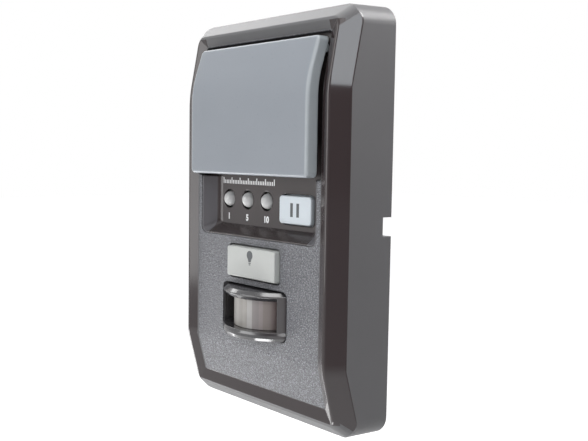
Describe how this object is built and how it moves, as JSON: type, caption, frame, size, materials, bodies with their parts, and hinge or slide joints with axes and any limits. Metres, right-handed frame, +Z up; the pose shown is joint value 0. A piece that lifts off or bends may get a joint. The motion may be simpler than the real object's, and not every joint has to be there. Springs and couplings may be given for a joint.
{
  "type": "garage door wall control",
  "caption": "Wall control for a powered garage door: wide push bar over a recessed panel, hold and light buttons, timer lamps and a motion sensor window in a grey case.",
  "frame": {"origin": "centre of the flat back, on the wall's surface", "axes": "+Z up the wall, +X to the right for someone facing the control, +Y into the wall, so the front faces -Y"},
  "size_m": [0.0776, 0.0278, 0.127],
  "materials": {
    "case_grey": "satin and polished dark grey moulding with a grained face",
    "back_plastic": "plain moulded",
    "panel_plastic": "semi-gloss dark brown-black moulding with white printing",
    "bar_plastic": "translucent blue-grey moulding",
    "diffuser_plastic": "milky sheet",
    "black_plastic": "fine matt moulding",
    "bezel_plastic": "high-gloss moulding",
    "lens_plastic": "milky ribbed polyethylene",
    "white_button": "satin white moulding",
    "grey_button": "satin warm light grey moulding",
    "lamp_plastic": "clear cast epoxy",
    "lead_metal": "tinned frame",
    "screw_steel": "zinc plated",
    "spring_steel": "drawn wire",
    "can_steel": "nickel plated can",
    "filter_dark": "dark coated window",
    "board_green": "solder resist over laminate",
    "chip_black": "moulded package",
    "capacitor_metal": "drawn can",
    "terminal_brass": "stamped plate",
    "terminal_body": "moulded block"
  },
  "bodies": {
    "case": {"back_plate": "back_plastic", "front_cover": "case_grey", "control_panel": "panel_plastic", "case_screws": "screw_steel", "board_screws": "screw_steel", "panel_screws": "screw_steel", "circuit_board": "board_green", "switch_bodies": "chip_black", "bar_lamps": "lamp_plastic", "sensor_bezel": "bezel_plastic", "sensor_lens": "lens_plastic", "sensor_shroud": "black_plastic", "motion_sensor": "can_steel", "sensor_filter": "filter_dark", "terminal_block": "terminal_body", "terminal_plates": "terminal_brass", "terminal_screws": "screw_steel", "controller_chip": "chip_black", "capacitors": "capacitor_metal", "crystal": "can_steel", "resistors": "chip_black", "timer_lamp_1": "lamp_plastic", "timer_lamp_5": "lamp_plastic", "timer_lamp_10": "lamp_plastic", "lamp_leads": "lead_metal"},
    "bar_lid": {"bar_carrier": "black_plastic", "hinge_pins": "screw_steel", "bar_springs": "spring_steel"},
    "bar_cap": {"push_bar": "bar_plastic", "bar_diffuser": "diffuser_plastic"},
    "hold_cap": {"hold_button": "white_button"},
    "hold_contact": {"hold_switch_plunger": "white_button"},
    "light_cap": {"light_button": "grey_button"},
    "light_contact": {"light_switch_plunger": "white_button"},
    "lock_cap": {"lock_button": "grey_button"},
    "lock_contact": {"lock_switch_plunger": "white_button"},
    "learn_cap": {"learn_button": "grey_button"},
    "learn_contact": {"learn_switch_plunger": "white_button"},
    "timer_cap": {"timer_button": "grey_button"},
    "timer_contact": {"timer_switch_plunger": "white_button"},
    "bar_contact": {"bar_switch_plunger": "white_button"}
  },
  "joints": [
    {"name": "bar_lift", "type": "hinge", "parent": "case", "child": "bar_lid", "pos_m": [0, -0.0176, 0.0506], "axis": [-1, 0, 0], "range_deg": [0, 50]},
    {"name": "bar_press", "type": "hinge", "parent": "bar_lid", "child": "bar_cap", "pos_m": [0, -0.0176, 0.0506], "axis": [1, 0, 0], "range_deg": [0, 2.3], "stiffness_Nm_per_rad": 0.25, "springref_deg": -1.15, "deforming": ["bar_springs"]},
    {"name": "hold_press", "type": "slide", "parent": "case", "child": "hold_cap", "axis": [0, 1, 0], "range_m": [0, 0.0006], "stiffness_N_per_m": 900, "springref_m": -0.0002},
    {"name": "hold_switch", "type": "slide", "parent": "case", "child": "hold_contact", "axis": [0, 1, 0], "range_m": [0, 0.0003]},
    {"name": "light_press", "type": "slide", "parent": "case", "child": "light_cap", "axis": [0, 1, 0], "range_m": [0, 0.0006], "stiffness_N_per_m": 900, "springref_m": -0.0002},
    {"name": "light_switch", "type": "slide", "parent": "case", "child": "light_contact", "axis": [0, 1, 0], "range_m": [0, 0.0003]},
    {"name": "lock_press", "type": "slide", "parent": "case", "child": "lock_cap", "axis": [0, 1, 0], "range_m": [0, 0.0006], "stiffness_N_per_m": 900, "springref_m": -0.0002},
    {"name": "lock_switch", "type": "slide", "parent": "case", "child": "lock_contact", "axis": [0, 1, 0], "range_m": [0, 0.0003]},
    {"name": "learn_press", "type": "slide", "parent": "case", "child": "learn_cap", "axis": [0, 1, 0], "range_m": [0, 0.0006], "stiffness_N_per_m": 900, "springref_m": -0.0002},
    {"name": "learn_switch", "type": "slide", "parent": "case", "child": "learn_contact", "axis": [0, 1, 0], "range_m": [0, 0.0003]},
    {"name": "timer_press", "type": "slide", "parent": "case", "child": "timer_cap", "axis": [0, 1, 0], "range_m": [0, 0.0006], "stiffness_N_per_m": 900, "springref_m": -0.0002},
    {"name": "timer_switch", "type": "slide", "parent": "case", "child": "timer_contact", "axis": [0, 1, 0], "range_m": [0, 0.0003]},
    {"name": "bar_switch", "type": "slide", "parent": "case", "child": "bar_contact", "axis": [0, 1, 0], "range_m": [0, 0.00026]}
  ],
  "couplings": [
    {"joint": "hold_switch", "follows": "hold_press", "ratio": 0.5},
    {"joint": "light_switch", "follows": "light_press", "ratio": 0.5},
    {"joint": "lock_switch", "follows": "lock_press", "ratio": 0.5},
    {"joint": "learn_switch", "follows": "learn_press", "ratio": 0.5},
    {"joint": "timer_switch", "follows": "timer_press", "ratio": 0.5},
    {"joint": "bar_switch", "follows": "bar_press", "m_per_rad": 0.00622}
  ]
}
